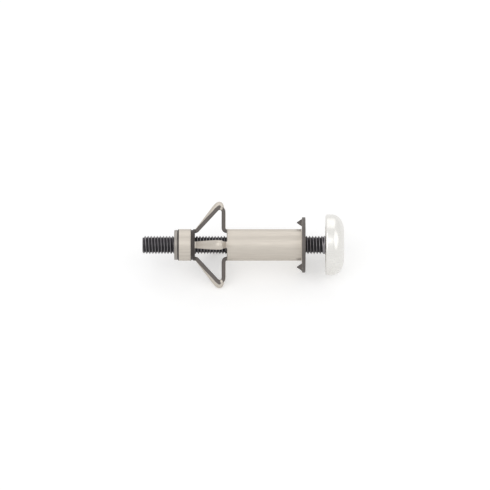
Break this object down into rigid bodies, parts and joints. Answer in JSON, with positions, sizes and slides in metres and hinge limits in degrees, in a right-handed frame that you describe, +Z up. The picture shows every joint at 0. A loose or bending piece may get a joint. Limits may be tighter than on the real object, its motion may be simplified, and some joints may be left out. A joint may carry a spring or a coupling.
{
  "type": "metal hollow wall anchor",
  "caption": "Set metal hollow wall anchor: flanged steel sleeve with claws and folded crowned legs, threaded nut in its collar and a mushroom head machine screw.",
  "frame": {"origin": "centre of the flange's seating face, on the anchor's axis", "axes": "+X along the anchor's axis, from the folded legs to the screw head; +Z up as the anchor lies on two of its legs and the rim of its head"},
  "size_m": [0.0662, 0.021, 0.021],
  "materials": {
    "zinc_sleeve": "satin zinc plate on folded sheet steel, pale warm grey",
    "zinc_nut": "satin zinc plate on turned steel, pale grey",
    "zinc_screw": "bright zinc plate on steel, near white head and a darker thread"
  },
  "bodies": {
    "anchor": {"anchor_sleeve": "zinc_sleeve", "threaded_nut": "zinc_nut"},
    "screw": {"machine_screw": "zinc_screw"}
  },
  "joints": [
    {"name": "screw_travel", "type": "slide", "parent": "anchor", "child": "screw", "axis": [1, 0, 0], "range_m": [-0.00645, 0.016]}
  ]
}
